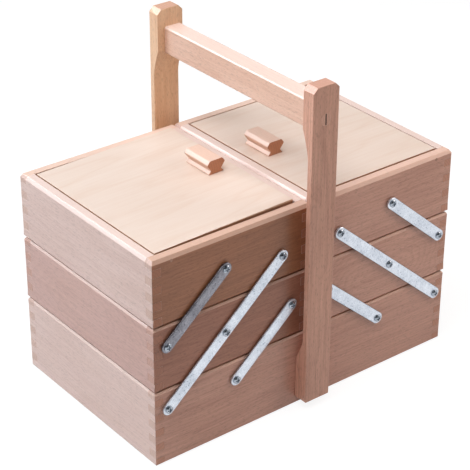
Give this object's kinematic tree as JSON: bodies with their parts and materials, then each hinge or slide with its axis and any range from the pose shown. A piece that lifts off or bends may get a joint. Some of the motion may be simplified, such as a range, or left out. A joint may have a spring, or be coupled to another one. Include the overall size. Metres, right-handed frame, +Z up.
{
  "type": "sewing carrier",
  "caption": "Wooden sewing carrier whose side trays unfold on flat steel arms, with pivoting plywood lids and a fixed handle bar between tall posts.",
  "frame": {"origin": "middle of the base box's underside, on the surface it stands on", "axes": "+X along the long side to the right, +Y from the front to the back, +Z up"},
  "size_m": [0.36, 0.247, 0.34],
  "materials": {
    "beech_walls": "satin lacquered steamed beech with end grain at the finger joints",
    "beech_handle": "satin lacquered beech, planed and eased",
    "beech_knob": "satin lacquered beech moulding",
    "lid_plywood": "satin lacquered pale birch plywood",
    "floor_plywood": "sanded bare poplar plywood",
    "wedge_wood": "dark hardwood wedge",
    "zinc_strip": "blue-white zinc plated strip steel",
    "zinc_screws": "zinc plated pan-head screws and washers",
    "pin_steel": "dull steel pins"
  },
  "bodies": {
    "base": {"base_front_wall": "beech_walls", "base_back_wall": "beech_walls", "base_left_end": "beech_walls", "base_right_end": "beech_walls", "base_floor": "floor_plywood", "front_post": "beech_handle", "back_post": "beech_handle", "handle_bar": "beech_handle", "handle_wedges": "wedge_wood", "post_screws": "zinc_screws", "base_pivot_screws": "zinc_screws", "base_pivot_washers": "zinc_screws"},
    "left_long_arms": {"left_front_long_arm": "zinc_strip", "left_back_long_arm": "zinc_strip"},
    "left_lower_arms": {"left_front_lower_arm": "zinc_strip", "left_back_lower_arm": "zinc_strip"},
    "left_middle_tray": {"left_middle_front_wall": "beech_walls", "left_middle_back_wall": "beech_walls", "left_middle_outer_end": "beech_walls", "left_middle_inner_end": "beech_walls", "left_middle_floor": "floor_plywood", "left_middle_pivot_screws": "zinc_screws", "left_middle_pivot_washers": "zinc_screws"},
    "left_upper_arms": {"left_front_upper_arm": "zinc_strip", "left_back_upper_arm": "zinc_strip"},
    "left_top_tray": {"left_top_front_wall": "beech_walls", "left_top_back_wall": "beech_walls", "left_top_outer_end": "beech_walls", "left_top_inner_end": "beech_walls", "left_top_floor": "floor_plywood", "left_top_pivot_screws": "zinc_screws", "left_top_pivot_washers": "zinc_screws", "left_lid_pins": "pin_steel", "left_lid_rest": "beech_handle"},
    "left_lid": {"left_lid": "lid_plywood", "left_knob": "beech_knob"},
    "right_long_arms": {"right_front_long_arm": "zinc_strip", "right_back_long_arm": "zinc_strip"},
    "right_lower_arms": {"right_front_lower_arm": "zinc_strip", "right_back_lower_arm": "zinc_strip"},
    "right_middle_tray": {"right_middle_front_wall": "beech_walls", "right_middle_back_wall": "beech_walls", "right_middle_outer_end": "beech_walls", "right_middle_inner_end": "beech_walls", "right_middle_floor": "floor_plywood", "right_middle_pivot_screws": "zinc_screws", "right_middle_pivot_washers": "zinc_screws"},
    "right_upper_arms": {"right_front_upper_arm": "zinc_strip", "right_back_upper_arm": "zinc_strip"},
    "right_top_tray": {"right_top_front_wall": "beech_walls", "right_top_back_wall": "beech_walls", "right_top_outer_end": "beech_walls", "right_top_inner_end": "beech_walls", "right_top_floor": "floor_plywood", "right_top_pivot_screws": "zinc_screws", "right_top_pivot_washers": "zinc_screws", "right_lid_pins": "pin_steel", "right_lid_rest": "beech_handle"},
    "right_lid": {"right_lid": "lid_plywood", "right_knob": "beech_knob"}
  },
  "joints": [
    {"name": "left_fold", "type": "hinge", "parent": "base", "child": "left_long_arms", "pos_m": [-0.1665, 0, 0.06], "axis": [0, -1, 0], "range_deg": [0, 97.9]},
    {"name": "left_lower_arm_swing", "type": "hinge", "parent": "base", "child": "left_lower_arms", "pos_m": [-0.0885, 0, 0.06], "axis": [0, -1, 0], "range_deg": [0, 97.9]},
    {"name": "left_middle_tray_level", "type": "hinge", "parent": "left_long_arms", "child": "left_middle_tray", "pos_m": [-0.10085, 0, 0.1171], "axis": [0, -1, 0], "range_deg": [-97.9, 0]},
    {"name": "left_upper_arm_swing", "type": "hinge", "parent": "left_middle_tray", "child": "left_upper_arms", "pos_m": [-0.1665, 0, 0.1271], "axis": [0, -1, 0], "range_deg": [0, 97.9]},
    {"name": "left_top_tray_level", "type": "hinge", "parent": "left_long_arms", "child": "left_top_tray", "pos_m": [-0.0352, 0, 0.1742], "axis": [0, -1, 0], "range_deg": [-97.9, 0]},
    {"name": "left_lid_hinge", "type": "hinge", "parent": "left_top_tray", "child": "left_lid", "pos_m": [-0.159, 0, 0.2124], "axis": [0, -1, 0], "range_deg": [0, 130]},
    {"name": "right_fold", "type": "hinge", "parent": "base", "child": "right_long_arms", "pos_m": [0.1665, 0, 0.06], "axis": [0, 1, 0], "range_deg": [0, 97.9]},
    {"name": "right_lower_arm_swing", "type": "hinge", "parent": "base", "child": "right_lower_arms", "pos_m": [0.0885, 0, 0.06], "axis": [0, 1, 0], "range_deg": [0, 97.9]},
    {"name": "right_middle_tray_level", "type": "hinge", "parent": "right_long_arms", "child": "right_middle_tray", "pos_m": [0.10085, 0, 0.1171], "axis": [0, 1, 0], "range_deg": [-97.9, 0]},
    {"name": "right_upper_arm_swing", "type": "hinge", "parent": "right_middle_tray", "child": "right_upper_arms", "pos_m": [0.1665, 0, 0.1271], "axis": [0, 1, 0], "range_deg": [0, 97.9]},
    {"name": "right_top_tray_level", "type": "hinge", "parent": "right_long_arms", "child": "right_top_tray", "pos_m": [0.0352, 0, 0.1742], "axis": [0, 1, 0], "range_deg": [-97.9, 0]},
    {"name": "right_lid_hinge", "type": "hinge", "parent": "right_top_tray", "child": "right_lid", "pos_m": [0.159, 0, 0.2124], "axis": [0, 1, 0], "range_deg": [0, 130]}
  ],
  "couplings": [
    {"joint": "left_lower_arm_swing", "follows": "left_fold", "ratio": 1},
    {"joint": "left_middle_tray_level", "follows": "left_fold", "ratio": -1},
    {"joint": "left_upper_arm_swing", "follows": "left_fold", "ratio": 1},
    {"joint": "left_top_tray_level", "follows": "left_fold", "ratio": -1},
    {"joint": "right_lower_arm_swing", "follows": "right_fold", "ratio": 1},
    {"joint": "right_middle_tray_level", "follows": "right_fold", "ratio": -1},
    {"joint": "right_upper_arm_swing", "follows": "right_fold", "ratio": 1},
    {"joint": "right_top_tray_level", "follows": "right_fold", "ratio": -1}
  ]
}
